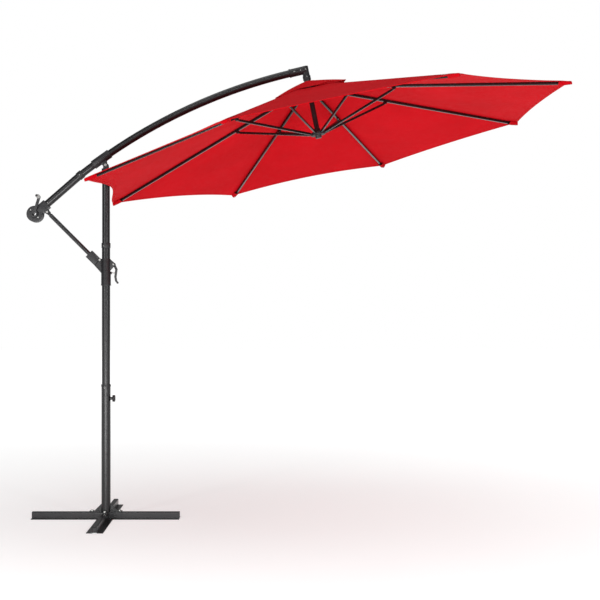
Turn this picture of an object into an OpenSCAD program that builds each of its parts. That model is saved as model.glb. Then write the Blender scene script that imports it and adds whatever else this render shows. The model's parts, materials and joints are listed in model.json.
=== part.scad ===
// Offset patio umbrella on a cross base: round mast, sliding strut, curved arm and a hanging eight-rib canopy.
// Millimetres, +Z up. The origin is on the ground under the mast, and the canopy hangs on the +X side.

/* [Base] */
// Length of each leg of the cross, tip to tip
leg_length = 908; // [700:4:1200]
// Width of the raised ridge of a leg
ridge_w = 32; // [26:1:44]
// Height of the raised ridge of a leg
ridge_h = 41; // [32:1:60]
// Width of each flange beside the ridge
flange_w = 33; // [20:1:50]
// Sheet thickness of the legs
leg_gauge = 3; // [2:0.5:5]
// Thickness of the plate under the post
plate_t = 5; // [4:0.5:10]
// Outer diameter of the lower post
post_d = 56; // [54:0.5:64]
// Wall of the lower post
post_wall = 2.5; // [1.5:0.25:2.5]
// Height of the lower post's top above the ground
post_top = 811; // [600:1:1000]
// Height of the clamp knob
knob_z = 738; // [600:1:760]
// Diameter of the clamp knob
knob_d = 42; // [30:1:60]

/* [Mast] */
// Outer diameter of the lower mast tube
mast_d = 50; // [46:0.5:50]
// Outer diameter of the upper mast tube
mast_upper_d = 47.4; // [40:0.2:47.4]
// Wall of the lower mast tube
mast_wall = 1.2; // [0.8:0.1:1.2]
// Height of the collar that joins the two mast tubes
mast_joint_z = 1679; // [1660:1:1700]
// Height of the pivot that carries the arm
head_z = 2172; // [2140:1:2300]
// Diameter of the arm pivot pin
head_pin_d = 10; // [8:0.5:12]

/* [Arm] */
// Outer diameter of the curved arm tube
arm_d = 44; // [38:0.5:46]
// Wall of the arm tubes
arm_wall = 1.2; // [1:0.1:2.5]
// Outer diameter of the straight tail tube
tail_d = 45.6; // [44:0.2:46]
// Length of the straight tail tube
tail_l = 296; // [250:1:340]
// Slope of the arm where the sleeve holds it
sleeve_slope = 35.5; // [33:0.5:38]
// Slope of the arm where it meets the elbow
end_slope = 13.2; // [10:0.2:16]
// Slope of the tail tube
tail_slope = 41; // [39:0.5:43]
// Length of the arm sleeve
sleeve_l = 124; // [100:1:150]
// Distance from the pivot pin to the axis of the arm
sleeve_stem = 47; // [44:0.5:56]
// Distance along the arm from the sleeve's middle back to the tail collar
collar_run = 163; // [140:1:200]
// Distance from the arm's end to the corner of the elbow
elbow_reach = 82; // [70:1:100]

/* [Strut and slider] */
// Distance from the arm pivot down to the strut's pin on the slider
slider_drop = 582; // [560:1:600]
// Distance of that pin from the mast axis
ear_reach = 37; // [36:0.5:42]
// Diameter of the strut tube
strut_d = 25; // [20:0.5:30]
// Distance of the strut's upper pin from the tail tube's axis
strut_ear = 43; // [42:0.5:50]

/* [Crank] */
// Diameter of the crank housing
housing_d = 98; // [94:1:110]
// Width of the crank housing
housing_w = 62; // [58:1:80]
// Diameter of the hole through the crank's hub
hub_hole_d = 25; // [16:1:26]
// Distance from the hub to the crank's grip
crank_l = 106; // [80:1:140]

/* [Canopy] */
// Distance from the canopy's axis to its fabric corners
canopy_r = 1500; // [1250:10:1800]
// Height of the fabric's peak above the plane of its corners
canopy_rise = 392; // [320:1:470]
// Tilt of the canopy, far side up
canopy_tilt = 11.3; // [8:0.1:14]
// Distance from the elbow's corner to the plane of the fabric corners
canopy_drop = 490; // [480:1:560]
// Depth of the curve cut into each hem
scallop = 74; // [40:1:90]
// Gap between the hem and the mast
hem_gap = 6; // [4:0.5:60]
// Thickness of the fabric solid
fabric_t = 1.2; // [1:0.1:3]
// Distance from the axis to the inner edge of the main panels
vent_r = 180; // [120:1:200]
// Distance from the axis to the corners of the vent flaps
flap_r = 250; // [220:1:300]
// Height of a rib
rib_h = 16; // [12:0.5:20]
// Width of a rib
rib_w = 11; // [9:0.5:14]
// Wall of the ribs and stretchers
rib_wall = 0.6; // [0.5:0.1:1]
// Distance along a rib from its hinge to the stretcher's pin
brace_at = 498; // [440:1:560]
// Distance from the crown's hinges down to the runner's hinges
runner_drop = 282; // [240:1:320]
// Distance from the axis to the hinges of crown and runner
hinge_r = 38; // [36:0.5:44]
// Outer diameter of the centre pole
pole_d = 31; // [26:0.5:32]

/* [Fits] */
// Radial clearance of a pin that turns in its bore
pin_fit = 0.05; // [0.02:0.01:0.1]
// Side gap between parts that move past each other
side_gap = 0.8; // [0.5:0.1:1.5]

/* [Hidden] */
$fn = 48;
RIBS = 8;
step = 360 / RIBS;
first_az = step / 2;
function numbered(word) = [for (k = [1:RIBS]) str(word, k)];

tube_c = "#3b3c3f";
cast_c = "#26272a";
bright_c = "#c9c9c6";
fabric_c = "#c8202c";

// Points in the plane of the arm are [x, z]
function dir(a) = [cos(a), sin(a)];
function left_of(a) = [-sin(a), cos(a)];
function angle_to(p, q) = atan2(q.y - p.y, q.x - p.x);

// Canopy, in its own frame: the axis is Z and the fabric corners lie at Z = 0
half = step / 2;
rib_slope = atan(canopy_rise / canopy_r);
gore_l = sqrt(pow(canopy_r * cos(half), 2) + pow(canopy_rise, 2));
gore_slope = atan(canopy_rise / (canopy_r * cos(half)));
gore_half_w = canopy_r * sin(half);
rib_clear = 1.2;
fabric_lift = rib_h / 2 + rib_clear + fabric_t;
hinge_z = canopy_rise - fabric_lift / cos(rib_slope) - hinge_r * tan(rib_slope);
tongue_l = 14;
rib_l = (canopy_r - hinge_r) / cos(rib_slope) - 14;
brace_drop = rib_h / 2 + 8;
brace_angle = rib_slope + atan(brace_drop / brace_at);
brace_arm = sqrt(pow(brace_at, 2) + pow(brace_drop, 2));
brace = [hinge_r + brace_arm * cos(brace_angle), hinge_z - brace_arm * sin(brace_angle)];
runner = [hinge_r, hinge_z - runner_drop];
stretcher_l = norm(brace - runner);
stretcher_slope = angle_to(runner, brace);

// The arm's arc is sized so that the scalloped hem clears the mast
head = [0, head_z];
sleeve_c = head + sleeve_stem * left_of(sleeve_slope);
hem_r = (gore_l - scallop) * cos(gore_slope);
hem_z = canopy_rise - (gore_l - scallop) * sin(gore_slope);
canopy_x = mast_upper_d / 2 + hem_gap + hem_r * cos(canopy_tilt) + hem_z * sin(canopy_tilt);
elbow_x = canopy_x - canopy_drop * sin(canopy_tilt);
arc_r = (elbow_x - elbow_reach * cos(end_slope) - sleeve_c.x) / (sin(sleeve_slope) - sin(end_slope));
arc_c = sleeve_c - arc_r * left_of(sleeve_slope);
function on_arc(a) = arc_c + arc_r * left_of(a);
arm_end = on_arc(end_slope);
elbow_c = arm_end + elbow_reach * dir(end_slope);
canopy_c = elbow_c + canopy_drop * [sin(canopy_tilt), -cos(canopy_tilt)];
collar_slope = sleeve_slope + collar_run / arc_r * 180 / PI;
collar_c = on_arc(collar_slope);
tail_end = collar_c - tail_l * dir(tail_slope);
crank_out = 71;
crank_c = tail_end - crank_out * dir(tail_slope);

// Strut: its axis passes a set distance beside the lower pin
lower_pin = [-ear_reach, head_z - slider_drop];
upper_pin = tail_end - 6 * dir(tail_slope) - strut_ear * left_of(tail_slope);
strut_off = 20;
strut_l = sqrt(pow(norm(lower_pin - upper_pin), 2) - pow(strut_off, 2));
strut_a = angle_to(upper_pin, lower_pin) - atan(strut_off / strut_l);

// Sizes shared by pieces that fit together
plate_top = ridge_h + plate_t;
mast_bottom = plate_top + 0.5;
knob_stud_r = 5;
liner_r = mast_d / 2 + 0.06;
slider_r = mast_d / 2 + 4.5;
slider_upper_r = mast_d / 2 + 2.4;
slider_low = -157;
slider_mid = -71;
slider_high = 7;
strut_pin_r = 4;
lever_pin_r = 3;
lever_pin = [slider_r + 17, -28];
lock_z = -80;
lock_r = 4;
lock_head_r = lock_r + 1.2;
pole_r = pole_d / 2;
pole_wall = 1.5;
core_r = pole_r + 3;
flange_r = hinge_r + 7;
slot_w = 8;
tongue_w = slot_w - 2 * side_gap;
hub_half_h = 27;
flange_half = 10;
runner_fit = 0.4;
rib_pin_r = 2.5;
brace_pin_r = 2;
ear_t = 1.6;
elbow_d = arm_d + 6;
pipe_d = 42;
pipe_l = 84;
pulley_r = 15;
spool_r = 40;
drum_r = 30;

// ---------- helpers ----------
module along(p, a) translate([p.x, 0, p.y]) rotate([0, -a, 0]) children();

module x_rod(r, x0, x1) translate([x0, 0, 0]) rotate([0, 90, 0]) cylinder(r = r, h = x1 - x0);

module x_tube(r, wall, x0, x1) difference() {
  x_rod(r, x0, x1);
  x_rod(r - wall, x0 - 1, x1 + 1);
}

module y_rod(p, r, y0, y1) translate([p.x, y1, p.y]) rotate([90, 0, 0]) cylinder(r = r, h = y1 - y0);

// A shape drawn in the XZ plane, thickened from y0 to y1
module slab(y0, y1) translate([0, y1, 0]) rotate([90, 0, 0]) linear_extrude(y1 - y0) children();

module ring(r_out, r_in, z0, z1) translate([0, 0, z0]) difference() {
  cylinder(r = r_out, h = z1 - z0);
  translate([0, 0, -1]) cylinder(r = r_in, h = z1 - z0 + 2);
}

module disc_at(p, r) translate(p) circle(r = r);

module bar_2d(p, q, w) translate(p) rotate(angle_to(p, q)) translate([0, -w / 2]) square([norm(q - p), w]);

module canopy_frame() translate([canopy_c.x, 0, canopy_c.y]) rotate([0, -canopy_tilt, 0]) children();

// Frame of one rib: origin on its hinge, +X out along the rib
module rib_frame(k) canopy_frame() rotate([0, 0, first_az + (k - 1) * step])
  translate([hinge_r, 0, hinge_z]) rotate([0, rib_slope, 0]) children();

// Frame of one stretcher: origin on its runner end, +X out to the rib
module stretcher_frame(k) canopy_frame() rotate([0, 0, first_az + (k - 1) * step])
  translate([runner.x, 0, runner.y]) rotate([0, -stretcher_slope, 0]) children();

// A round-headed rivet pointing along +Z, seated on a tube of radius r that lies along X
module rivet_on(r, x, turn = 90, head = 4.2) rotate([turn, 0, 0]) difference() {
  translate([x, 0, r - 2]) cylinder(r1 = head, r2 = head * 0.62, h = 3.8);
  x_rod(r, x - 10, x + 10);
}

// ---------- base ----------
ridge_round = 6;

module leg_profile() {
  w = ridge_w / 2;
  difference() {
    union() {
      translate([-w, 0]) square([ridge_w, ridge_h - ridge_round]);
      translate([-w + ridge_round, 0]) square([ridge_w - 2 * ridge_round, ridge_h]);
      for (s = [-1, 1]) disc_at([s * (w - ridge_round), ridge_h - ridge_round], ridge_round);
      translate([-w - flange_w, 0]) square([ridge_w + 2 * flange_w, leg_gauge]);
    }
    translate([-w + leg_gauge, -1]) square([ridge_w - 2 * leg_gauge, ridge_h - leg_gauge + 1]);
  }
}

module leg_bar(y0, y1) translate([0, y1, 0]) rotate([90, 0, 0]) linear_extrude(y1 - y0) leg_profile();

bolt_x = post_d / 2 + 57;
bolt_y = post_d / 2 + 22;
bolt_r = 5;
bolt_head_r = 8.5;
bolt_head_h = 6.5;
nut_h = 8;
strap_l = 120;
cut_l = 200;
plate_margin = 15;
gusset_w = 5;
gusset_h = 44;

module bolt_spots() {
  for (s = [-1, 1]) {
    translate([s * bolt_x, 0, 0]) children();
    translate([0, s * bolt_y, 0]) children();
  }
}

module bolt_holes() bolt_spots() translate([0, 0, ridge_h - leg_gauge - 1]) cylinder(r = bolt_r, h = leg_gauge + plate_t + 2);

// The strap below the crossing ties the ridge's two feet together
module base_leg_x() color(tube_c) {
  difference() {
    rotate([0, 0, 90]) leg_bar(-leg_length / 2, leg_length / 2);
    bolt_holes();
  }
  translate([-strap_l / 2, -ridge_w / 2 + leg_gauge, 0]) cube([strap_l, ridge_w - 2 * leg_gauge, leg_gauge]);
}

// The cross leg is two halves that butt against the through leg
module base_leg_y() color(tube_c) for (s = [0, 180]) rotate([0, 0, s]) difference() {
  leg_bar(ridge_w / 2, leg_length / 2);
  translate([-cut_l / 2, 0, -1]) cube([cut_l, ridge_w / 2 + flange_w, leg_gauge + 1]);
  for (x = [-cut_l / 2, ridge_w / 2])
    translate([x, 0, -1]) cube([cut_l / 2 - ridge_w / 2, ridge_w / 2 + flange_w, leg_gauge + 2]);
  bolt_holes();
}

module foot_plate() color(tube_c) {
  difference() {
    union() {
      translate([-bolt_x - plate_margin, -ridge_w / 2, ridge_h]) cube([2 * (bolt_x + plate_margin), ridge_w, plate_t]);
      translate([-ridge_w / 2, -bolt_y - plate_margin, ridge_h]) cube([ridge_w, 2 * (bolt_y + plate_margin), plate_t]);
      translate([0, 0, ridge_h]) cylinder(r = post_d / 2 + 4, h = plate_t);
      for (s = [0, 180]) rotate([0, 0, s]) slab(-gusset_w / 2, gusset_w / 2)
        polygon([[post_d / 2, plate_top - 0.5], [bolt_x - 12, plate_top - 0.5], [post_d / 2, plate_top + gusset_h]]);
    }
    bolt_holes();
  }
}

module base_fasteners() color(bright_c) {
  bolt_spots() {
    nut_z = ridge_h - leg_gauge - nut_h;
    translate([0, 0, plate_top]) cylinder(r = bolt_head_r, h = bolt_head_h, $fn = 6);
    translate([0, 0, nut_z - 7]) cylinder(r = bolt_r, h = plate_top - nut_z + 7);
    ring(bolt_head_r, bolt_r, nut_z, nut_z + nut_h);
  }
  rotate([0, 0, -12]) rotate([0, -90, 0]) rivet_on(post_d / 2, post_top - 8, 90, 3.4);
}

module lower_post() color(tube_c) difference() {
  ring(post_d / 2, post_d / 2 - post_wall, plate_top, post_top);
  translate([0, 0, knob_z]) x_rod(knob_stud_r + 0.3, 0, post_d);
}

// The bushing's lip stands above the post, with thumb notches round it
lip_h = 13;
lip_out = 1.6;
bushing_in = 45;
notch_r = 2;

module post_bushing() color(cast_c) difference() {
  union() {
    ring(post_d / 2 + lip_out, liner_r, post_top, post_top + lip_h);
    ring(post_d / 2 - post_wall, liner_r, post_top - bushing_in, post_top);
  }
  for (a = [0:30:330]) rotate([0, 0, a])
    translate([post_d / 2 + lip_out + notch_r / 2, 0, post_top + 3]) cylinder(r = notch_r, h = lip_h);
}

boss_r = 9;
boss_l = 10;
neck_l = boss_l + 2.5;
grip_t = 15.5;
dish = 8;

module knob_boss() color(tube_c) translate([0, 0, knob_z]) difference() {
  x_rod(boss_r, post_d / 2 - 4, post_d / 2 + boss_l);
  translate([0, 0, -2 * boss_r]) cylinder(r = post_d / 2, h = 4 * boss_r);
  x_rod(knob_stud_r + pin_fit, 0, post_d);
}

// ---------- clamp knob ----------
module clamp_knob() color(cast_c) translate([0, 0, knob_z]) {
  difference() {
    x_rod(knob_d / 2, post_d / 2 + neck_l, post_d / 2 + neck_l + grip_t);
    for (a = [0:45:315]) rotate([a, 0, 0]) translate([0, 0, knob_d / 2 + 3]) x_rod(6, 0, post_d + 20);
    x_rod(knob_d / 2 - dish, post_d / 2 + neck_l + grip_t - 3, post_d / 2 + neck_l + grip_t + 2);
  }
  x_rod(knob_stud_r, mast_d / 2 + 0.3, post_d / 2 + neck_l);
}

// ---------- mast ----------
upper_wall = 2;
joint_overlap = 110;
head_drop = 26;
mast_stub = 8;
collar_half = 15;
collar_r = mast_d / 2 + 2.6;

module mast_lower_tube() color(tube_c) ring(mast_d / 2, mast_d / 2 - mast_wall, mast_bottom, mast_joint_z + mast_stub);

module mast_upper_tube() color(tube_c)
  ring(mast_upper_d / 2, mast_upper_d / 2 - upper_wall, mast_joint_z - joint_overlap, head_z - head_drop);

module mast_collar() color(cast_c) {
  ring(collar_r, mast_d / 2, mast_joint_z - collar_half, mast_joint_z + mast_stub);
  ring(collar_r, mast_upper_d / 2, mast_joint_z + mast_stub, mast_joint_z + collar_half);
}

head_ear_y = 17;
head_ear_t = 6;
head_ear_r = 15;
head_cup_r = mast_upper_d / 2 + 3;

module mast_head() color(cast_c) difference() {
  union() {
    ring(head_cup_r, mast_upper_d / 2, head_z - 70, head_z - head_drop);
    translate([0, 0, head_z - head_drop]) cylinder(r = head_cup_r, h = 6);
    for (s = [0, 1]) mirror([0, s, 0]) slab(head_ear_y, head_ear_y + head_ear_t) {
      disc_at(head, head_ear_r);
      translate([-head_ear_r, head_z - head_drop + 4]) square([2 * head_ear_r, head_drop - 4]);
    }
  }
  y_rod(head, head_pin_d / 2, -60, 60);
}

module mast_fasteners() color(bright_c) {
  outer = head_ear_y + head_ear_t;
  y_rod(head, head_pin_d / 2, -outer, outer);
  for (s = [-1, 1]) y_rod(head, head_pin_d / 2 + 3, s > 0 ? outer : -outer - 4, s > 0 ? outer + 4 : -outer);
  for (a = [-20, 160]) rotate([0, 0, a]) rotate([0, -90, 0]) rivet_on(collar_r, mast_joint_z - 4);
}

// ---------- slider ----------
wing_y = 7;
wing_t = 6;
wing_r = 10;
lever_w = 14;
lever_ear_y = lever_w / 2 + side_gap;
lever_ear_t = 5;
liner_t = 1.6;
fitting_h = 54;

module slider_frame() translate([0, 0, lower_pin.y]) children();

// The strut's wing follows the end face of the strut's fitting
module wing_outline() {
  face = left_of(strut_a);
  pin = [-ear_reach, 0];
  toe = pin - (strut_off + fitting_h / 2) * face + 1.2 * dir(strut_a);
  top = pin + 1.2 * dir(strut_a);
  polygon([[-mast_d / 2 - 1, slider_mid - 12], toe, top, [-mast_d / 2 - 1, slider_high]]);
  disc_at(pin, wing_r);
}

module lever_ear_outline() {
  disc_at(lever_pin, 12);
  polygon([[mast_d / 2 + 1, slider_high - 2], lever_pin + [4, 11.3], lever_pin + [2, -11.8], [mast_d / 2 + 1, -64]]);
}

module slider_body() color(cast_c) slider_frame() difference() {
  union() {
    cylinder(r = slider_upper_r, h = slider_high);
    translate([0, 0, slider_mid]) cylinder(r = slider_upper_r, h = -slider_mid);
    translate([0, 0, slider_low]) cylinder(r = slider_r, h = slider_mid - slider_low);
    translate([0, 0, slider_low]) cylinder(r = slider_r + 1.5, h = 5);
    for (s = [0, 1]) mirror([0, s, 0]) {
      slab(wing_y, wing_y + wing_t) wing_outline();
      slab(lever_ear_y, lever_ear_y + lever_ear_t) lever_ear_outline();
    }
    translate([0, 0, lock_z]) x_rod(8, mast_d / 2, slider_r + 6);
  }
  translate([0, 0, slider_low - 1]) cylinder(r = mast_d / 2 + liner_t, h = slider_high - slider_low + 2);
  y_rod([-ear_reach, 0], strut_pin_r, -30, 30);
  y_rod(lever_pin, lever_pin_r, -30, 30);
  translate([0, 0, lock_z]) x_rod(lock_r + pin_fit, 0, 60);
}

module slider_liner() color(cast_c) slider_frame() difference() {
  ring(mast_d / 2 + liner_t, liner_r, slider_low, slider_high);
  translate([0, 0, lock_z]) x_rod(lock_r + pin_fit, 0, 60);
}

module slider_pins() color(bright_c) slider_frame() {
  wing_out = wing_y + wing_t;
  ear_out = lever_ear_y + lever_ear_t;
  y_rod([-ear_reach, 0], strut_pin_r, -wing_out, wing_out);
  y_rod(lever_pin, lever_pin_r, -ear_out, ear_out);
  for (s = [0, 1]) mirror([0, s, 0]) {
    y_rod([-ear_reach, 0], strut_pin_r + 2.5, wing_out, wing_out + 3);
    y_rod(lever_pin, lever_pin_r + 2.5, ear_out, ear_out + 3);
  }
}

// Hooked handle that hangs beside the slider
lever_t = 14;
lever_bend = [for (p = [[34.5, -58], [28.5, -104], [32.5, -128], [41.5, -140]]) p + [slider_r, 0]];

module slider_lever() color(cast_c) slider_frame() difference() {
  slab(-lever_w / 2, lever_w / 2) {
    disc_at(lever_pin, 9);
    bar_2d(lever_pin + [3, 0], lever_bend[0], lever_t);
    for (i = [0:2]) bar_2d(lever_bend[i], lever_bend[i + 1], lever_t - i - 1);
    for (i = [0:3]) disc_at(lever_bend[i], lever_t / 2 - min(i, 2) / 2);
  }
  y_rod(lever_pin, lever_pin_r + pin_fit, -20, 20);
  slab(-lock_head_r - 0.4, lock_head_r + 0.4) translate([mast_d / 2 + 15, lock_z - 11.5]) square([22, 18]);
}

module lock_pin() color(bright_c) slider_frame() translate([0, 0, lock_z]) {
  x_rod(lock_r, mast_d / 2 + 0.5, mast_d / 2 + 32);
  x_rod(lock_head_r, mast_d / 2 + 30, mast_d / 2 + 34.5);
}

// ---------- strut ----------
fitting_l = 74;
fitting_w = 36;
fitting_pin_r = 9;
tube_in = 40;
upper_eye_r = 10;
upper_eye_y = 12;
neck_start = 22;
strut_wall = 1.5;

module strut_frame() along(upper_pin, strut_a) children();

module strut_tube() color(tube_c) strut_frame() x_tube(strut_d / 2, strut_wall, neck_start, strut_l - tube_in);

module strut_lower_fitting() color(cast_c) strut_frame() difference() {
  union() {
    difference() {
      translate([strut_l - fitting_l, -fitting_w / 2, -fitting_h / 2]) cube([fitting_l - 1, fitting_w, fitting_h]);
      for (s = [0, 1]) mirror([0, s, 0]) y_rod([strut_l, strut_off], wing_r + 1.2, wing_y - side_gap, 40);
    }
    y_rod([strut_l, strut_off], fitting_pin_r, -wing_y + side_gap, wing_y - side_gap);
  }
  x_rod(strut_d / 2, strut_l - fitting_l - 1, strut_l - tube_in);
  y_rod([strut_l, strut_off], strut_pin_r + pin_fit, -40, 40);
}

module strut_upper_fitting() color(cast_c) strut_frame() difference() {
  union() {
    y_rod([0, 0], upper_eye_r, -upper_eye_y, upper_eye_y);
    translate([0, -upper_eye_y, -upper_eye_r + 1]) cube([neck_start, 2 * upper_eye_y, 2 * upper_eye_r - 2]);
    x_rod(strut_d / 2 - strut_wall, neck_start, neck_start + 28);
  }
  y_rod([0, 0], 4.5, -20, 20);
}

// ---------- arm ----------
module arc_tube(r, a0, a1) translate([arc_c.x, 0, arc_c.y]) rotate([90, 0, 0]) rotate([0, 0, 90 + a1])
  rotate_extrude(angle = a0 - a1, $fn = 96) translate([arc_r, 0]) circle(r = r, $fn = 48);

// The arm's outside, which its sleeve, collar and elbow are bored with
module arm_arc() arc_tube(arm_d / 2, collar_slope - 0.03, end_slope);

module curved_arm_tube() color(tube_c) difference() {
  arm_arc();
  arc_tube(arm_d / 2 - arm_wall, collar_slope + 1, end_slope - 1);
}

module tail_tube() color(tube_c) along(tail_end, tail_slope) x_tube(tail_d / 2, arm_wall, 0, tail_l - 2);

tail_collar_r = tail_d / 2 + 3.2;
tail_collar_half = 16;

module tail_collar() color(cast_c) difference() {
  along(collar_c, tail_slope) x_rod(tail_collar_r, -tail_collar_half, tail_collar_half);
  along(collar_c, tail_slope) x_rod(tail_d / 2, -40, -1);
  arm_arc();
  along(collar_c, tail_slope) x_rod(tail_d / 2 - 3, -40, 40);
}

sleeve_r = arm_d / 2 + 5.5;
knuckle_r = 14;

module arm_sleeve() color(cast_c) difference() {
  union() {
    along(sleeve_c, sleeve_slope) x_rod(sleeve_r, -sleeve_l / 2, sleeve_l / 2);
    along(head, sleeve_slope) slab(-head_ear_y + side_gap, head_ear_y - side_gap) {
      circle(r = knuckle_r);
      translate([-knuckle_r, 0]) square([2 * knuckle_r, 12]);
      polygon([[-16, 12], [16, 12], [24, sleeve_stem - 15], [-24, sleeve_stem - 15]]);
    }
  }
  arm_arc();
  y_rod(head, head_pin_d / 2 + pin_fit, -60, 60);
}

module pipe_frame() along(elbow_c, canopy_tilt - 90) children();

// The elbow's depth over the arm, and how far below its corner the centre pole starts
elbow_grip = 18;
pole_in = 34;
line_way_r = 14;
axle_r = 3;

module elbow() color(cast_c) difference() {
  union() {
    along(arm_end, end_slope) {
      x_rod(elbow_d / 2, -elbow_grip, elbow_reach + 4);
      x_rod(elbow_d / 2 + 2, -elbow_grip, -elbow_grip + 7);
    }
    pipe_frame() {
      x_rod(pipe_d / 2, -elbow_d / 2 + 4, pipe_l);
      x_rod(pipe_d / 2 + 3, pole_in + 4, pipe_l - 20);
    }
  }
  arm_arc();
  along(arm_end, end_slope) x_rod(line_way_r, -1, elbow_reach - 10);
  pipe_frame() x_rod(pole_r, pole_in, pipe_l + 1);
  pipe_frame() x_rod(line_way_r - 4, 8, pole_in + 6);
  y_rod(elbow_c, pulley_r + 3, -7, 7);
  y_rod(elbow_c, axle_r, -elbow_d, elbow_d);
}

module elbow_pulley() color(cast_c) difference() {
  y_rod(elbow_c, pulley_r, -5.5, 5.5);
  translate([elbow_c.x, 0, elbow_c.y]) rotate([90, 0, 0])
    rotate_extrude() translate([pulley_r + 1, 0]) circle(r = 4);
  y_rod(elbow_c, axle_r + pin_fit, -elbow_d, elbow_d);
}

// ---------- crank ----------
wall = 4;
pin_lug_r = 12;
hub_r = 18;
screw_r = 2;
screw_at = 32;
fork_y = upper_eye_y + 1;

module housing_outline() {
  disc_at(crank_c, housing_d / 2);
  translate(tail_end) rotate(tail_slope) translate([-crank_out + 20, -tail_d / 2 - wall])
    square([crank_out + 6, tail_d + 2 * wall]);
  bar_2d(tail_end, upper_pin, 2 * pin_lug_r - 2);
  disc_at(upper_pin, pin_lug_r);
}

module housing_half() difference() {
  slab(-housing_w / 2, -0.1) housing_outline();
  slab(-housing_w / 2 + wall, 1) disc_at(crank_c, housing_d / 2 - wall);
  along(tail_end, tail_slope) {
    x_rod(tail_d / 2, 0, 60);
    x_rod(15, -30, 1);
  }
  slab(-fork_y, 1) disc_at(upper_pin, upper_eye_r + 9);
  slab(-fork_y, 1) translate(upper_pin) rotate(strut_a) translate([0, -upper_eye_r - 8]) square([40, 2 * upper_eye_r + 16]);
  y_rod(crank_c, hub_r + pin_fit, -housing_w, 1);
  for (p = screw_spots()) y_rod(p, screw_r, -housing_w, 1);
}

function screw_spots() = [for (a = [135, 315]) crank_c + screw_at * dir(a)];

module crank_housing_left() color(cast_c) housing_half();

module crank_housing_right() color(cast_c) mirror([0, 1, 0]) housing_half();

module arm_fasteners() color(bright_c) {
  along(tail_end, tail_slope) rivet_on(tail_d / 2, 34);
  along(collar_c, tail_slope) rivet_on(tail_collar_r, -2);
  along(arm_end, end_slope) {
    rivet_on(elbow_d / 2, 10);
    rivet_on(elbow_d / 2, elbow_reach - 30);
  }
  y_rod(elbow_c, axle_r, -elbow_d / 2 + 1, elbow_d / 2 - 1);
  pipe_frame() rivet_on(pipe_d / 2 + 3, pole_in + 12);
  for (s = [0, 1]) mirror([0, s, 0]) {
    y_rod(upper_pin, 6.5, -housing_w / 2 - 3, -housing_w / 2);
    for (p = screw_spots()) {
      y_rod(p, 2 * screw_r, -housing_w / 2 - 2, -housing_w / 2);
      y_rod(p, screw_r, -housing_w / 2, -housing_w / 2 + wall);
    }
  }
  canopy_frame() for (k = [0:RIBS - 1]) rotate([0, 0, first_az + k * step])
    y_rod([hinge_r, hinge_z], rib_pin_r, -slot_w / 2 - 6, slot_w / 2 + 6);
}

module line_spool() color(cast_c) difference() {
  union() {
    for (y = [-24, 20]) y_rod(crank_c, spool_r, y, y + 4);
    y_rod(crank_c, drum_r, -20, 20);
    y_rod(crank_c, hub_r, -housing_w / 2 - 1, housing_w / 2 + 1);
  }
  y_rod(crank_c, hub_hole_d / 2, -housing_w, housing_w);
}

crank_a = 73;
crank_t = 9;
crank_y0 = -housing_w / 2 - crank_t - 4;
grip_l = 71;
grip_pin_r = 4;
grip_c = crank_c + crank_l * dir(crank_a);

module crank_arm() color(cast_c) difference() {
  union() {
    slab(crank_y0, crank_y0 + crank_t) {
      disc_at(crank_c, hub_r + 4);
      bar_2d(crank_c + 12 * dir(crank_a), grip_c, 17);
      disc_at(grip_c, 9);
    }
    y_rod(crank_c, hub_r, crank_y0 + crank_t, -housing_w / 2 - 1);
    y_rod(grip_c, grip_pin_r, crank_y0 - grip_l, crank_y0);
    y_rod(grip_c, 7, crank_y0 - grip_l - 3, crank_y0 - grip_l);
  }
  y_rod(crank_c, hub_hole_d / 2, -housing_w, 0);
}

module crank_grip() color(bright_c) difference() {
  translate([grip_c.x, crank_y0 - side_gap, grip_c.y]) rotate([90, 0, 0]) rotate_extrude()
    polygon([[0, 0], [8, 0], [10, 8], [11.5, grip_l / 2], [10.5, grip_l - 9], [8, grip_l - 1.6], [0, grip_l - 1.6]]);
  y_rod(grip_c, grip_pin_r + pin_fit, crank_y0 - grip_l - 20, crank_y0 + 5);
}

// ---------- hub and runner ----------
module centre_pole() color(tube_c) canopy_frame() ring(pole_r, pole_r - pole_wall, runner.y - 18, canopy_drop - pole_in - 2);

// A disc cut by one slot for each rib, with blocks left between the slots
module slotted_hub(z0, z1, bore) difference() {
  union() {
    ring(flange_r, bore, z0, z1);
    children();
  }
  for (k = [0:RIBS - 1]) rotate([0, 0, first_az + k * step])
    translate([core_r + 2, -slot_w / 2, z0 - 50]) cube([60, slot_w, z1 - z0 + 100]);
}

module crown_hub() color(cast_c) canopy_frame() difference() {
  slotted_hub(hinge_z - flange_half, hinge_z + flange_half, pole_r) {
    ring(core_r + 1, pole_r, hinge_z - 24, hinge_z + 14);
  }
  for (k = [0:RIBS - 1]) rotate([0, 0, first_az + k * step]) y_rod([hinge_r, hinge_z], rib_pin_r, -30, 30);
}

module runner_hub() color(cast_c) canopy_frame() slotted_hub(runner.y - flange_half + 1, runner.y + flange_half - 1, pole_r + runner_fit) {
  ring(core_r + 1, pole_r + runner_fit, runner.y - hub_half_h, runner.y + hub_half_h + 4);
  translate([0, 0, runner.y - hub_half_h]) cylinder(r = core_r + 1, h = 6);
}

// ---------- ribs, stretchers, fabric ----------
// Gap left above each inner plug, which drains the tube
vent = 1.5;

module box_tube(w, h, t, x0, x1) difference() {
  translate([x0, -w / 2, -h / 2]) cube([x1 - x0, w, h]);
  translate([x0 - 1, -w / 2 + t, -h / 2 + t]) cube([x1 - x0 + 2, w - 2 * t, h - 2 * t]);
}

// The tongue that turns in a hub's slot, and the plug that holds it in its tube
eye_r = 6;
tongue_h = 10;
plug_l = 14;
cap_l = 6;

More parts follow.
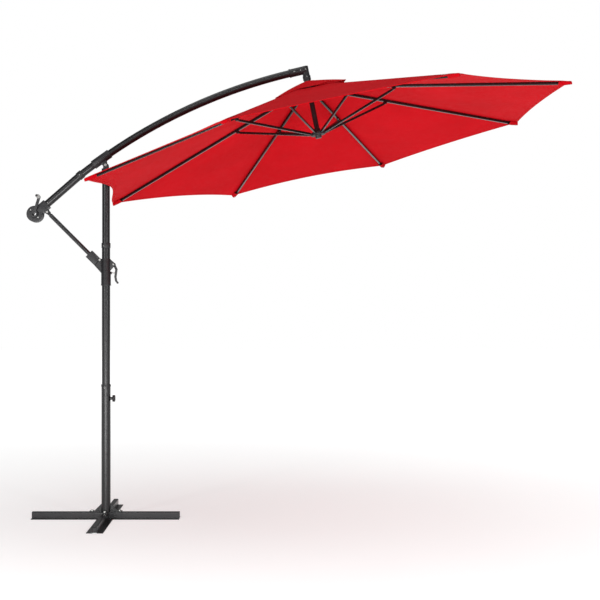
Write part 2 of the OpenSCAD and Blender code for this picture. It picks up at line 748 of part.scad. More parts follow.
module tongue(start, w, h) {
  y_rod([0, 0], eye_r, -tongue_w / 2, tongue_w / 2);
  translate([0, -tongue_w / 2, -tongue_h / 2]) cube([start, tongue_w, tongue_h]);
  translate([start, -w / 2 + rib_wall, -h / 2 + rib_wall]) cube([plug_l, w - 2 * rib_wall, h - 2 * rib_wall - vent]);
}

module rib(k) color(tube_c) rib_frame(k) {
  box_tube(rib_w, rib_h, rib_wall, tongue_l, rib_l);
  difference() {
    tongue(tongue_l, rib_w, rib_h);
    y_rod([0, 0], rib_pin_r + pin_fit, -20, 20);
  }
  for (s = [0, 1]) mirror([0, s, 0]) difference() {
    slab(rib_w / 2, rib_w / 2 + ear_t) translate([brace_at, 0])
      polygon([[-16, rib_h / 2 - 2], [16, rib_h / 2 - 2], [7, -brace_drop - 5], [-7, -brace_drop - 5]]);
    y_rod([brace_at, -brace_drop], brace_pin_r, -20, 20);
  }
  y_rod([brace_at, -brace_drop], brace_pin_r, -rib_w / 2 - ear_t, rib_w / 2 + ear_t);
  for (s = [0, 1]) mirror([0, s, 0])
    y_rod([brace_at, -brace_drop], 2 * brace_pin_r, rib_w / 2 + ear_t, rib_w / 2 + ear_t + 2);
  translate([rib_l, -rib_w / 2, -rib_h / 2]) cube([cap_l, rib_w, rib_h]);
}

stretcher_h = 14;

module stretcher(k) color(tube_c) stretcher_frame(k) {
  w = rib_w - 2 * side_gap;
  end = stretcher_l - plug_l;
  box_tube(w, stretcher_h, rib_wall, tongue_l + 2, end);
  difference() {
    tongue(tongue_l + 2, w, stretcher_h);
    y_rod([0, 0], rib_pin_r, -20, 20);
  }
  difference() {
    union() {
      translate([end - plug_l, -w / 2 + rib_wall, -stretcher_h / 2 + rib_wall])
        cube([plug_l, w - 2 * rib_wall, stretcher_h - 2 * rib_wall]);
      translate([end, -w / 2, -tongue_h / 2]) cube([plug_l, w, tongue_h]);
      y_rod([stretcher_l, 0], tongue_h / 2, -w / 2, w / 2);
    }
    y_rod([stretcher_l, 0], brace_pin_r + pin_fit, -20, 20);
  }
}

hem_steps = 8;
seam_gap = 0.2;
seam_lap = 0.6;

// One half of a panel, flat in its gore: from the gore's middle to the rib
module half_panel(x_in, x_hem, cut, side) {
  taper = gore_half_w / gore_l;
  w = x_hem * taper;
  slope_w = side * (w + seam_lap);
  hem = [for (i = [0:hem_steps]) let (u = 1 - i / hem_steps) [x_hem - cut * (1 - u * u), side * max(w * u, seam_gap)]];
  polygon(concat([[x_in, side * seam_gap], [x_in, side * (x_in * taper + seam_lap)], [x_hem, slope_w]], hem));
}

// A panel runs from one gore's middle over its rib to the next gore's middle
module panel_pair(k, peak, x_in, x_hem, cut) canopy_frame() union() for (side = [-1, 1])
  rotate([0, 0, first_az + (k - 1) * step - side * half]) translate([0, 0, peak])
    rotate([0, gore_slope, 0]) translate([0, 0, -fabric_t])
      linear_extrude(fabric_t) half_panel(x_in, x_hem, cut, side);

flap_lift = 16;
flap_in = 32;
flap_scallop = 12;

module canopy_panel(k) color(fabric_c) {
  panel_pair(k, canopy_rise, vent_r, gore_l, scallop);
  panel_pair(k, canopy_rise + flap_lift, flap_in, flap_r, flap_scallop);
}

base_leg_x();
base_leg_y();
base_fasteners();
foot_plate();
lower_post();
post_bushing();
knob_boss();
clamp_knob();
mast_lower_tube();
mast_upper_tube();
mast_collar();
mast_head();
mast_fasteners();
slider_body();
slider_liner();
slider_pins();
slider_lever();
lock_pin();
strut_tube();
strut_lower_fitting();
strut_upper_fitting();
tail_tube();
tail_collar();
curved_arm_tube();
arm_sleeve();
elbow();
arm_fasteners();
crank_housing_left();
crank_housing_right();
line_spool();
crank_arm();
crank_grip();
elbow_pulley();
centre_pole();
crown_hub();
runner_hub();
for (k = [1:RIBS]) {
  rib(k);
  stretcher(k);
  canopy_panel(k);
}
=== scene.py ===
import json
import math

import bmesh
import bpy
from mathutils import Matrix, Vector

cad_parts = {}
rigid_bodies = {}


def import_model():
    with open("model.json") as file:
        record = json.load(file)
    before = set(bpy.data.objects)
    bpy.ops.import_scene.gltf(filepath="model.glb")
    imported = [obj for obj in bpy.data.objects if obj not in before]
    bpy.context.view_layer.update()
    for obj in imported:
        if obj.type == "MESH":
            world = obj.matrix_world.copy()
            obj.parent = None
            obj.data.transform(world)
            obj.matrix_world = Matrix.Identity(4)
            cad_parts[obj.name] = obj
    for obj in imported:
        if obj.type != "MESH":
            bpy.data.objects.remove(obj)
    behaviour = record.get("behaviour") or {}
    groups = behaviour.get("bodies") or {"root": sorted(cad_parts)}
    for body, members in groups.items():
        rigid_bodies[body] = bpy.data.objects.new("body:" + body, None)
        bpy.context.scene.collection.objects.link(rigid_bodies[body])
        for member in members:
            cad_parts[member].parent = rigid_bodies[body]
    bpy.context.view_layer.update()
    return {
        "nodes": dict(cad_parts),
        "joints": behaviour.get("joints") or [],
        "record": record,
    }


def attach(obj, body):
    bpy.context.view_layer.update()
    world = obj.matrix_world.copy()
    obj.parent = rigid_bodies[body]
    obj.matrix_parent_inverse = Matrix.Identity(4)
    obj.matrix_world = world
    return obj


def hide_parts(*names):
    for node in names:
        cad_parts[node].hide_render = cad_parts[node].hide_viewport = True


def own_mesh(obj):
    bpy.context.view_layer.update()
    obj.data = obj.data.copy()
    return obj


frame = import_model()

# ---------- where things are ----------
JOINTS = {j["name"]: j for j in frame["joints"]}
RIBS = 8
STEP = 2 * math.pi / RIBS
HALF = STEP / 2

# The canopy hangs on its own tilted axis, which the runner slides along
hinges = [Vector(JOINTS[f"rib_{k}_fold"]["pos_m"]) for k in range(1, RIBS + 1)]
hub = sum(hinges, Vector()) / RIBS
UP = -Vector(JOINTS["runner_travel"]["axis"]).normalized()
RADIAL = [(h - hub).normalized() for h in hinges]

# Cut of the cloth, in metres
CANOPY_R = 1.5
RISE = 0.392
VENT_R = 0.18
FLAP_R = 0.24
FLAP_SCALLOP = 0.012
FLAP_LIFT = 0.03
FLAP_OPEN = 0.03
CLOTH = 0.0009
SAG = 0.006
LIFT = 0.0012
HEM_W = 0.016
HEM_TURN = 0.0006
SEAM_W = 0.014
FLAP_HEM_W = 0.012
FLAP_IN = 0.031
FLAP_SAG = 0.004

# How deep each gore's hem is cut at its middle, from the gore after rib 1
# round to the one before it. The two gores furthest from the mast are cut
# nearly straight. The one at the mast dips sharply round it.
HEM_CUT = (0.03, 0.074, 0.056, 0.074, 0.074, 0.074, 0.074, 0.026)
MAST_GORE = 3
GORE_L = math.hypot(CANOPY_R * math.cos(HALF), RISE)
GORE_SLOPE = math.atan(RISE / (CANOPY_R * math.cos(HALF)))
TAPER = CANOPY_R * math.sin(HALF) / GORE_L
FLAP_L = FLAP_R * math.cos(HALF) / math.cos(GORE_SLOPE)

cad_panel = frame["nodes"]["canopy_panel_1"].data
corner_low = min((v.co - hub).dot(UP) for v in cad_panel.vertices)
PEAK = hub + UP * (corner_low + LIFT * math.cos(GORE_SLOPE) + RISE)


def turned(direction, angle):
    return Matrix.Rotation(angle, 3, UP) @ direction


# ---------- materials ----------
class Paint:
    """A material with short names for the nodes that these finishes use."""

    def __init__(self, name, **constants):
        self.mat = bpy.data.materials.new(name)
        self.mat.use_nodes = True
        self.tree = self.mat.node_tree
        self.shader = self.tree.nodes["Principled BSDF"]
        for socket, value in constants.items():
            self.shader.inputs[socket.replace("_", " ")].default_value = value

    def node(self, kind, inputs=(), **settings):
        made = self.tree.nodes.new(kind)
        for key, value in settings.items():
            setattr(made, key, value)
        for socket, value in dict(inputs).items():
            if isinstance(value, bpy.types.NodeSocket):
                self.tree.links.new(value, made.inputs[socket])
            else:
                made.inputs[socket].default_value = value
        return made

    def place(self):
        return self.node("ShaderNodeTexCoord").outputs["Object"]

    def uv(self, name):
        return self.node("ShaderNodeUVMap", uv_map=name).outputs["UV"]

    def noise(self, vector, scale, detail=3.0, rough=0.5):
        inputs = {"Vector": vector, "Scale": scale, "Detail": detail, "Roughness": rough}
        return self.node("ShaderNodeTexNoise", inputs).outputs["Fac"]

    def spread(self, value, low, high, to_low=0.0, to_high=1.0):
        inputs = {
            "Value": value,
            "From Min": low,
            "From Max": high,
            "To Min": to_low,
            "To Max": to_high,
        }
        return self.node("ShaderNodeMapRange", inputs).outputs["Result"]

    def maths(self, how, a, b=0.5):
        return self.node("ShaderNodeMath", {0: a, 1: b}, operation=how).outputs[0]

    def mix(self, share, a, b):
        made = self.node("ShaderNodeMix", data_type="RGBA")
        for index, value in ((0, share), (6, a), (7, b)):
            if isinstance(value, bpy.types.NodeSocket):
                self.tree.links.new(value, made.inputs[index])
            else:
                made.inputs[index].default_value = value
        return made.outputs[2]

    def stretch(self, vector, scale):
        return self.node("ShaderNodeMapping", {"Vector": vector, "Scale": scale}).outputs["Vector"]

    def bands(self, vector, period, along="X"):
        inputs = {"Vector": vector, "Scale": math.pi / 10 / period, "Distortion": 0.0}
        return self.node("ShaderNodeTexWave", inputs, bands_direction=along).outputs["Fac"]

    def colour(self, socket):
        self.tree.links.new(socket, self.shader.inputs["Base Color"])

    def roughness(self, socket):
        self.tree.links.new(socket, self.shader.inputs["Roughness"])

    def bump(self, height, strength, distance, under=None):
        inputs = {"Height": height, "Strength": strength, "Distance": distance}
        if under is not None:
            inputs["Normal"] = under
        made = self.node("ShaderNodeBump", inputs).outputs["Normal"]
        self.tree.links.new(made, self.shader.inputs["Normal"])
        return made


def rgb(r, g, b):
    """A colour given as it looks on a screen, 0 to 255."""
    return tuple((c / 255) ** 2.2 for c in (r, g, b)) + (1.0,)


def powder_coat(name, base, light, roughness, peel=0.05):
    """Powder-coated steel: orange peel, faint mottling and a few pale scuffs."""
    p = Paint(name, IOR=1.5, Specular_IOR_Level=0.5)
    at = p.place()
    mottle = p.noise(at, 14.0, 5.0, 0.6)
    scuff = p.spread(p.noise(p.stretch(at, (60, 60, 9)), 3.0, 6.0, 0.75), 0.66, 0.78)
    tone = p.mix(p.spread(mottle, 0.3, 0.7), base, light)
    p.colour(p.mix(p.maths("MULTIPLY", scuff, 0.12), tone, rgb(112, 112, 112)))
    patches = p.noise(at, 55.0, 4.0, 0.6)
    p.roughness(p.spread(patches, 0.25, 0.75, roughness - 0.03, roughness + 0.05))
    p.bump(p.noise(at, 650.0, 2.0, 0.5), peel, 0.0004)
    return p.mat


def moulded(name, base, light, roughness):
    """Moulded plastic or a painted casting with a fine spark grain."""
    p = Paint(name, IOR=1.46)
    at = p.place()
    p.colour(p.mix(p.spread(p.noise(at, 22.0, 6.0, 0.65), 0.3, 0.7), base, light))
    p.roughness(p.spread(p.noise(at, 120.0, 3.0, 0.6), 0.3, 0.7, roughness - 0.05, roughness + 0.1))
    fine = p.bump(p.noise(at, 420.0, 3.0, 0.7), 0.35, 0.0005)
    p.bump(p.noise(at, 40.0, 2.0, 0.5), 0.08, 0.002, fine)
    return p.mat


def bright_metal(name, base, dull):
    """Zinc-plated steel, a little cloudy, with fine turning marks."""
    p = Paint(name, Metallic=1.0)
    at = p.place()
    p.colour(p.mix(p.spread(p.noise(at, 160.0, 4.0, 0.6), 0.3, 0.75), base, dull))
    p.roughness(p.spread(p.noise(at, 240.0, 3.0, 0.6), 0.3, 0.7, 0.24, 0.46))
    p.bump(p.noise(p.stretch(at, (300, 300, 2400)), 1.0, 2.0, 0.5), 0.15, 0.0002)
    return p.mat


# Pitch of the weave. A hem or seam has two rows of stitches, each STITCH_OUT
# from its middle.
THREAD = 0.0011
STITCH_OUT = 0.0042
STITCH_HALF_W = 0.0006
STITCH_L = 0.0038


def cloth(name, base, deep, stitched=False):
    """Dyed canopy cloth in a plain weave. A stitched band shows two rows of thread."""
    p = Paint(
        name,
        Sheen_Weight=0.01,
        Sheen_Roughness=0.5,
        Sheen_Tint=(1.0, 0.3, 0.3, 1.0),
        Specular_IOR_Level=0.04,
    )
    at, thread = p.place(), p.uv("cut")
    warp = p.bands(thread, THREAD, "X")
    weft = p.bands(thread, THREAD, "Y")
    weave = p.maths("MULTIPLY", warp, weft)
    slub = p.noise(p.stretch(thread, (900, 60, 1)), 1.0, 3.0, 0.6)
    cloud = p.noise(at, 2.6, 5.0, 0.55)
    tone = p.mix(p.spread(cloud, 0.3, 0.72), base, deep)
    slubs = p.maths("MULTIPLY", p.spread(slub, 0.35, 0.75), 0.14)
    tone = p.mix(slubs, tone, rgb(224, 38, 46))
    gaps = p.maths("MULTIPLY", p.spread(weave, 0.0, 0.35, 1.0, 0.0), 0.2)
    tone = p.mix(gaps, tone, rgb(120, 2, 12))
    if stitched:
        u = p.node("ShaderNodeSeparateXYZ", {0: p.uv("band")}).outputs
        rows = p.maths("COMPARE", p.maths("ABSOLUTE", u["X"]), STITCH_OUT)
        rows.node.inputs[2].default_value = STITCH_HALF_W
        stitch = p.maths("FRACT", p.maths("DIVIDE", u["Y"], STITCH_L))
        thread_mask = p.maths("MULTIPLY", rows, p.maths("GREATER_THAN", stitch, 0.22))
        tone = p.mix(thread_mask, tone, rgb(226, 62, 64))
        under = p.bump(thread_mask, 0.6, 0.0008)
    else:
        under = None
    p.colour(tone)
    p.roughness(p.spread(p.noise(at, 30.0, 4.0, 0.6), 0.3, 0.7, 0.68, 0.84))
    crease = p.noise(at, 7.0, 4.0, 0.55)
    soft = p.bump(crease, 0.12, 0.012, under)
    p.bump(weave, 0.25, 0.0004, soft)
    return p.mat


FINISH = {
    "frame_steel": powder_coat("charcoal_powder_coat", rgb(24, 24, 26), rgb(30, 30, 32), 0.29),
    "rib_steel": powder_coat("rib_powder_coat", rgb(16, 16, 17), rgb(23, 23, 25), 0.25),
    "zinc_steel": bright_metal("zinc_plate", rgb(196, 196, 192), rgb(150, 150, 148)),
    "black_plastic": moulded("black_casting", rgb(30, 30, 32), rgb(40, 40, 42), 0.44),
    "grip_plastic": moulded("grip_plastic", rgb(148, 148, 146), rgb(170, 170, 168), 0.5),
    "canopy_fabric": cloth("canopy_cloth", rgb(202, 12, 28), rgb(184, 8, 22)),
}
POCKET_CLOTH = cloth("pocket_cloth", rgb(186, 10, 26), rgb(170, 8, 20), stitched=True)
HEM_CLOTH = cloth("hem_cloth", rgb(196, 10, 26), rgb(176, 6, 20), stitched=True)

for part in frame["record"]["subparts"]:
    data = frame["nodes"][part["node"]].data
    data.materials.clear()
    data.materials.append(FINISH[part["material_slot"]])


# ---------- pieces ----------
def piece(name, bm, body, material, slot, sharp=40):
    """A finished mesh at the origin that rides on a CAD body."""
    mesh = bpy.data.meshes.new(name)
    bm.to_mesh(mesh)
    bm.free()
    mesh.materials.append(material)
    mesh.shade_smooth()
    mesh.set_sharp_from_angle(angle=math.radians(sharp))
    made = bpy.data.objects.new(name, mesh)
    bpy.context.scene.collection.objects.link(made)
    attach(made, body)
    return made


# ---------- canopy ----------
def gore_at(k, t):
    """The gore on t's side of rib k."""
    return k if t >= 0 else (k - 1) % RIBS


def hem_at(u, length, cut, dip=1):
    """Distance from the peak to the hem, where u is 0 at a gore's middle and 1 at the rib."""
    return length - cut * (1 - u * u) ** dip


def main_hem(gore, u):
    return hem_at(u, GORE_L, HEM_CUT[gore], 2 if gore == MAST_GORE else 1)


def hem_over(k, t):
    """The main hem over rib k, with t as in cloth_point."""
    return main_hem(gore_at(k, t), 1 - abs(t))


def cloth_point(k, x, t, lift=0.0, peak=0.0, sag=SAG):
    """A point of the cloth over rib k, x from the peak.

    t goes from -1 at one gore's middle, through 0 at the rib, to 1 at the next.
    """
    side = 1 if t >= 0 else -1
    u = 1 - abs(t)
    gore = turned(RADIAL[k], side * HALF)
    across = turned(gore, -side * math.pi / 2)
    out = gore * math.cos(GORE_SLOPE) - UP * math.sin(GORE_SLOPE)
    normal = gore * math.sin(GORE_SLOPE) + UP * math.cos(GORE_SLOPE)
    share = min(x / GORE_L, 1.0)
    droop = sag * (math.sin(math.pi * share) ** 0.8 + 0.35 * share) * (1 - u * u)
    # Pull lines fan out from each corner, where the rib stretches the cloth
    away = math.hypot(GORE_L - x, (1 - u) * x * TAPER)
    fan = math.atan2((1 - u) * x * TAPER, GORE_L - x + 1e-6)
    pull = 0.0016 * math.sin(22 * fan) * math.exp(-away / 0.2) * min(away / 0.05, 1.0)
    return PEAK + UP * peak + out * x + across * (u * x * TAPER) + normal * (lift - droop + pull)


def cloth_grid(k, columns, rows, place, cut):
    """A grid of cloth, where place turns shares of the rows and columns into x and t.

    Its UV map cut is the flat gore, in metres.
    """
    bm = bmesh.new()
    bmesh.ops.create_grid(bm, x_segments=columns, y_segments=rows, size=0.5)
    spot = {}
    for v in bm.verts:
        spot[v] = place(v.co.y + 0.5, v.co.x * 2)
        v.co = cut(k, *spot[v])
    uv = bm.loops.layers.uv.new("cut")
    for face in bm.faces:
        side = 1 if sum(spot[v][1] for v in face.verts) >= 0 else -1
        for loop in face.loops:
            x, t = spot[loop.vert]
            loop[uv].uv = (-side * (1 - abs(t)) * x * TAPER, x)
    bmesh.ops.recalc_face_normals(bm, faces=bm.faces)
    if sum(f.normal.dot(UP) for f in bm.faces) < 0:
        bmesh.ops.reverse_faces(bm, faces=bm.faces)
    return bm


def gore_area(x_in, hem):
    """Flat area of one gore, in square metres, from x_in to the hem that hem gives at u."""
    strips = 200
    total = sum(hem((i + 0.5) / strips) ** 2 - x_in ** 2 for i in range(strips)) / strips
    return TAPER * total


def thicken(bm, depth):
    """Gives the cloth its thickness, on its underside."""
    bmesh.ops.solidify(bm, geom=bm.faces[:], thickness=depth)
    return bm


def fold_with_rib(obj, k):
    """Gives the piece its own copy of its mesh. It reads rib k's fold joint but doesn't use it, so
    the cloth doesn't gather as the rib swings down.
    """
    joint = f"rib_{k + 1}_fold"
    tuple(JOINTS[joint]["axis"])
    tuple(hinges[k])
    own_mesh(obj)


def fabric(name, bm, k, material):
    """A piece of the cover that rides on rib k."""
    return piece(name, bm, f"rib_{k + 1}", material, "canopy_fabric", 60)


def band_uv(bm, lay):
    """UV map band, in metres, from lay: across the band from its middle, and along it."""
    uv = bm.loops.layers.uv.new("band")
    cut = bm.loops.layers.uv["cut"]
    for face in bm.faces:
        for loop in face.loops:
            loop[uv].uv = lay(*loop[cut].uv)


def hem_band(name, k, columns, width, edge, place, thick):
    """A folded band along an edge, where edge gives its distance from the peak."""

    def spread(s, t):
        return edge(k, t) + HEM_TURN - width * (1 - s), t

    def lay(lateral, x):
        t = max(min(1 - abs(lateral) / (x * TAPER), 1.0), 0.0)
        return x - edge(k, t if lateral <= 0 else -t) - HEM_TURN + width / 2, lateral

    bm = cloth_grid(k, columns, 2, spread, place)
    band_uv(bm, lay)
    band = fabric(name, thicken(bm, thick), k, HEM_CLOTH)
    fold_with_rib(band, k)
    return band


def corner_pocket(k):
    """The pocket under each corner that holds the rib's tip."""
    long, half_wide, deep, lip = 0.068, 0.022, 0.0215, 0.001

    def front(k, t):
        across = abs(t) * GORE_L * TAPER / half_wide
        return hem_over(k, t) + lip * (1 - across * across)

    def spread(s, t):
        narrow = t * half_wide / (GORE_L * TAPER)
        x_in = GORE_L - long + 0.016 * t * t
        return x_in + s * (front(k, narrow) + deep - x_in), narrow

    def place(k, x, t):
        across = min(abs(t) * GORE_L * TAPER / half_wide, 1.0)
        # Past the rib's tip the cloth turns up in front of it
        up = max(x - front(k, t), 0.0) / deep
        along = min((x - GORE_L + long) / long, 1.0)
        drop = deep * (1 - across ** 2.6) * (1 - up ** 1.5) * (1 - 0.3 * along)
        out = min(x, front(k, t)) + 0.003 * up * (1 - 0.6 * up)
        return cloth_point(k, out, t, LIFT) - UP * (drop + 0.0022)

    bm = cloth_grid(k, 20, 22, spread, place)
    band_uv(bm, lambda lateral, x: (x - GORE_L + long - 0.006, lateral))
    return fabric(f"corner_pocket_{k + 1}", thicken(bm, 0.0011), k, POCKET_CLOTH)


def main_panel(k):
    """One petal of the cover: half a gore on each side of its rib, with its sewn parts."""

    def spread(s, t):
        return VENT_R + s * (hem_over(k, t) - VENT_R), t

    bm = cloth_grid(k, 44, 70, spread, lambda k, x, t: cloth_point(k, x, t, LIFT))
    inner = [v for v in bm.verts if not v.is_boundary]
    bmesh.ops.smooth_vert(
        bm, verts=inner, factor=0.5, use_axis_x=True, use_axis_y=True, use_axis_z=True
    )
    panel = fabric(f"canopy_cloth_{k + 1}", thicken(bm, CLOTH), k, FINISH["canopy_fabric"])
    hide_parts(f"canopy_panel_{k + 1}")
    fold_with_rib(panel, k)

    def hem_place(k, x, t):
        return cloth_point(k, x, t, LIFT + 0.0007)

    hem = hem_band(f"hem_{k + 1}", k, 44, HEM_W, hem_over, hem_place, 0.0024)

    # Seam: the two gores are felled together over the rib
    def seam_spread(s, t):
        x = VENT_R + 0.002 + s * (GORE_L - 0.004 - VENT_R)
        return x, t * SEAM_W / 2 / (x * TAPER)

    bm = cloth_grid(k, 4, 70, seam_spread, lambda k, x, t: cloth_point(k, x, t, LIFT + 0.0006))
    band_uv(bm, lambda lateral, x: (x * TAPER - abs(lateral), x))
    seam = fabric(f"seam_{k + 1}", thicken(bm, CLOTH), k, HEM_CLOTH)

    gores = (gore_at(k, 1), gore_at(k, -1))
    area = sum(gore_area(VENT_R, lambda u, g=g: main_hem(g, u)) for g in gores) / 2
    corner_pocket(k)


for k in range(RIBS):
    main_panel(k)


# ---------- vent flaps ----------
def flap_edge(k, t):
    return hem_at(1 - abs(t), FLAP_L, FLAP_SCALLOP)


def flap_point(k, x, t, lift=LIFT):
    """The cap over the vent, which stands open on the side away from the mast."""
    share = x / FLAP_L
    u = 1 - abs(t)
    side = 1 if t >= 0 else -1
    gore = turned(RADIAL[k], side * (1 - u) * HALF)
    open_side = max(gore.x, 0.0) ** 1.2 * share ** 1.3 * (0.7 + 0.3 * u * u)
    hang = FLAP_LIFT * (1 - 0.8 * share * share)
    return cloth_point(k, x, t, lift, hang + FLAP_OPEN * open_side, FLAP_SAG)


def vent_flap(k):
    """One part of the cap, with its hem."""

    def spread(s, t):
        return FLAP_IN + s * (flap_edge(k, t) - FLAP_IN), t

    bm = cloth_grid(k, 28, 22, spread, flap_point)
    flap = fabric(f"vent_flap_{k + 1}", thicken(bm, CLOTH), k, FINISH["canopy_fabric"])
    fold_with_rib(flap, k)

    def hem_place(k, x, t):
        return flap_point(k, x, t, LIFT + 0.0007)

    band = hem_band(f"vent_hem_{k + 1}", k, 28, FLAP_HEM_W, flap_edge, hem_place, 0.0022)
    gore_area(FLAP_IN, lambda u: hem_at(u, FLAP_L, FLAP_SCALLOP))


for k in range(RIBS):
    vent_flap(k)


# ---------- castings and fittings ----------
def body_of(node):
    """The body that a CAD node rides on."""
    return frame["nodes"][node].parent.name.split(":")[1]


SLOT = {part["node"]: part["material_slot"] for part in frame["record"]["subparts"]}


def eased(node, width):
    """A part with its edges rounded over, in place of the sharp-edged solid."""
    bm = bmesh.new()
    bm.from_mesh(frame["nodes"][node].data)
    bmesh.ops.remove_doubles(bm, verts=bm.verts, dist=2e-5)
    bmesh.ops.dissolve_limit(bm, angle_limit=math.radians(1.5), verts=bm.verts, edges=bm.edges)
    keen = [e for e in bm.edges if e.is_manifold and e.calc_face_angle(0) > math.radians(38)]
    bmesh.ops.bevel(
        bm,
        geom=keen,
        offset=width,
        offset_type="OFFSET",
        segments=2,
        profile=0.5,
        affect="EDGES",
        material=-1,
        clamp_overlap=True,
    )
    slot = SLOT[node]
    made = piece(f"{node}_cast", bm, body_of(node), FINISH[slot], slot, 34)
    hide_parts(node)


def crank_grip():
    """A turned grip with finger rings, on the crank's pin."""
    centre = Vector(JOINTS["grip_spin"]["pos_m"])
    depths = [v.co.y for v in frame["nodes"]["crank_grip"].data.vertices]
    near, far = min(depths), max(depths)
    long = far - near
    bore, steps, rings_in_all = 0.0044, 60, 9
    bm = bmesh.new()
    ring = []
    for i in range(steps + 1):
        share = i / steps
        swell = 0.0085 + 0.0028 * math.sin(math.pi * min(share * 1.15, 1.0)) ** 0.7
        wave = 0.0006 * math.cos(2 * math.pi * rings_in_all * share)
        rings = wave if 0.12 < share < 0.88 else 0.0
        ends = min(share / 0.03, (1 - share) / 0.03, 1.0) ** 0.5
        ring.append(bm.verts.new((swell * (0.55 + 0.45 * ends) + rings, far - long * share, 0)))
    middle = [bm.verts.new((bore, far, 0)), bm.verts.new((bore, near, 0))]
    line = [middle[0]] + ring + [middle[1], middle[0]]
    edges = [bm.edges.new((line[i], line[i + 1])) for i in range(len(line) - 1)]
    bmesh.ops.spin(
        bm,
        geom=line[:-1] + edges,
        cent=(0, 0, 0),
        axis=(0, 1, 0),
        dvec=(0, 0, 0),
        angle=2 * math.pi,
        steps=48,
        use_merge=True,
        use_duplicate=False,
    )
    bmesh.ops.remove_doubles(bm, verts=bm.verts, dist=1e-6)
    bmesh.ops.recalc_face_normals(bm, faces=bm.faces)
    bmesh.ops.translate(bm, verts=bm.verts, vec=(centre.x, 0, centre.z))
    body, paint = body_of("crank_grip"), FINISH["grip_plastic"]
    made = piece("crank_grip_turned", bm, body, paint, "grip_plastic", 50)
    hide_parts("crank_grip")


LEG_END = max(v.co.x for v in frame["nodes"]["base_leg_x"].data.vertices)
PLUG_W, PLUG_H, PLUG_T = 0.030, 0.0335, 0.016


def leg_plugs():
    """A moulded plug closes each end of the base legs."""
    body, paint = body_of("base_leg_x"), FINISH["black_plastic"]
    for i in range(4):
        bm = bmesh.new()
        bmesh.ops.create_cube(bm, size=1.0)
        bmesh.ops.scale(bm, verts=bm.verts, vec=(PLUG_T, PLUG_W, PLUG_H))
        bmesh.ops.bevel(
            bm,
            geom=bm.edges[:],
            offset=0.004,
            offset_type="OFFSET",
            segments=3,
            profile=0.5,
            affect="EDGES",
            material=-1,
        )
        front = max(bm.faces, key=lambda f: f.calc_center_median().x)
        bmesh.ops.inset_individual(bm, faces=[front], thickness=0.003, depth=-0.0015)
        # The plug's face stands half a millimetre inside the leg's end
        seat = (LEG_END - PLUG_T / 2 - 0.0005, 0, 0.0035 + PLUG_H / 2)
        bmesh.ops.translate(bm, verts=bm.verts, vec=seat)
        turn = Matrix.Rotation(i * math.pi / 2, 3, "Z")
        bmesh.ops.rotate(bm, verts=bm.verts, cent=(0, 0, 0), matrix=turn)
        piece(f"leg_plug_{i + 1}", bm, body, paint, "black_plastic", 30)


CASTINGS = (
    "slider_body",
    "slider_lever",
    "strut_lower_fitting",
    "strut_upper_fitting",
    "mast_collar",
    "mast_head",
    "tail_collar",
    "arm_sleeve",
    "elbow",
    "crank_housing_left",
    "crank_housing_right",
    "crank_arm",
    "clamp_knob",
    "crown_hub",
    "runner_hub",
)
CAST_EDGE = 0.0009
RIB_EDGE = 0.0016

for node in CASTINGS:
    eased(node, CAST_EDGE)
for node in frame["nodes"]:
    if node.startswith(("rib_", "stretcher_")):
        eased(node, RIB_EDGE)
crank_grip()
leg_plugs()


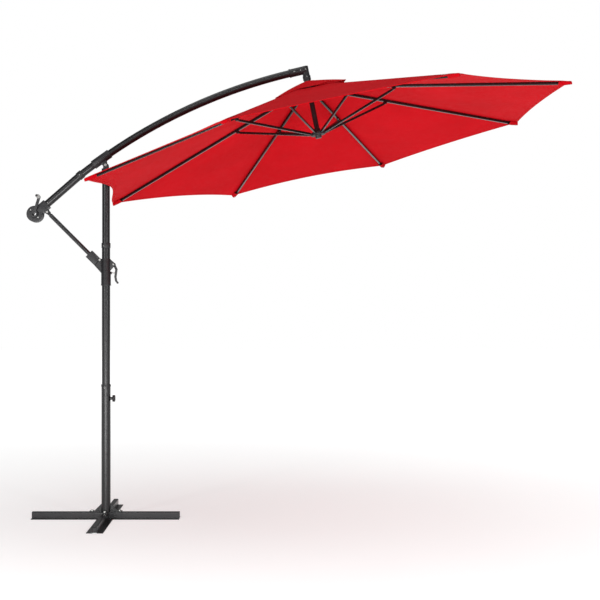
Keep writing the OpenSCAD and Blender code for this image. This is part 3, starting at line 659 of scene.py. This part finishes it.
# ---------- stage ----------
def floor():
    """A pale floor that glows with painted light, lifting its own shadow and lighting the canopy
    from below, and fades into the background.
    """
    bm = bmesh.new()
    bmesh.ops.create_grid(bm, x_segments=1, y_segments=1, size=40.0)
    mesh = bpy.data.meshes.new("floor")
    bm.to_mesh(mesh)
    bm.free()
    p = Paint(
        "floor_paint",
        Roughness=0.9,
        Specular_IOR_Level=0.1,
        Emission_Color=(1.0, 1.0, 1.0, 1.0),
    )
    at = p.place()
    patches = p.spread(p.noise(at, 3.0, 3.0), 0.3, 0.7)
    p.colour(p.mix(patches, (0.56, 0.56, 0.56, 1), (0.58, 0.58, 0.58, 1)))
    # Painted light: the floor glows at 0.55 near the middle and up to full white further out, where
    # it runs into the white background
    far = p.node("ShaderNodeVectorMath", {0: at}, operation="LENGTH").outputs["Value"]
    p.tree.links.new(p.spread(far, 0.6, 7.0, 0.55, 1.0), p.shader.inputs["Emission Strength"])
    mesh.materials.append(p.mat)
    made = bpy.data.objects.new("floor", mesh)
    bpy.context.scene.collection.objects.link(made)


floor()


def softbox(name, place, aim, width, height, power):
    """A rectangular lamp aimed at a point, which the camera doesn't see."""
    light = bpy.data.lights.new(name, "AREA")
    light.shape = "RECTANGLE"
    light.size, light.size_y = width, height
    light.energy = power
    made = bpy.data.objects.new(name, light)
    bpy.context.scene.collection.objects.link(made)
    made.location = place
    made.rotation_euler = (Vector(aim) - Vector(place)).to_track_quat("-Z", "Y").to_euler()
    made.visible_camera = False


softbox("key", (-3.0, -5.0, 2.4), (0.6, 0, 1.6), 0.7, 4.0, 84)
softbox("fill", (4.4, -5.4, 2.2), (0.9, 0, 1.6), 0.8, 4.0, 84)
softbox("top", (1.0, -0.6, 6.5), (1.0, 0, 1.5), 5.0, 5.0, 105)
softbox("low", (0.1, -3.9, 0.3), (0.7, 0.4, 2.4), 2.6, 0.8, 78)
softbox("over", (0.6, -5.6, 4.7), (0.6, 0, 2.5), 3.4, 0.6, 45)

world = bpy.data.worlds.new("studio")
bpy.context.scene.world = world
world.use_nodes = True
nodes, links = world.node_tree.nodes, world.node_tree.links
background = nodes["Background"]
ray = nodes.new("ShaderNodeLightPath")
mix = nodes.new("ShaderNodeMix")
mix.data_type = "RGBA"
links.new(ray.outputs["Is Camera Ray"], mix.inputs[0])
mix.inputs[6].default_value = (0.22, 0.22, 0.22, 1)
mix.inputs[7].default_value = (1.0, 1.0, 1.0, 1)
links.new(mix.outputs[2], background.inputs["Color"])
background.inputs["Strength"].default_value = 1.0
bpy.context.scene.view_settings.view_transform = "Standard"

camera = bpy.data.cameras.new("camera")
camera.sensor_width = 36
camera.lens = 60.06
camera.shift_x, camera.shift_y = 0.0792, 0.0408
eye = bpy.data.objects.new("camera", camera)
bpy.context.scene.collection.objects.link(eye)
eye.location = (0.902, -6.165, 1.193)
eye.rotation_euler = (math.pi / 2, 0, 0)
bpy.context.scene.camera = eye
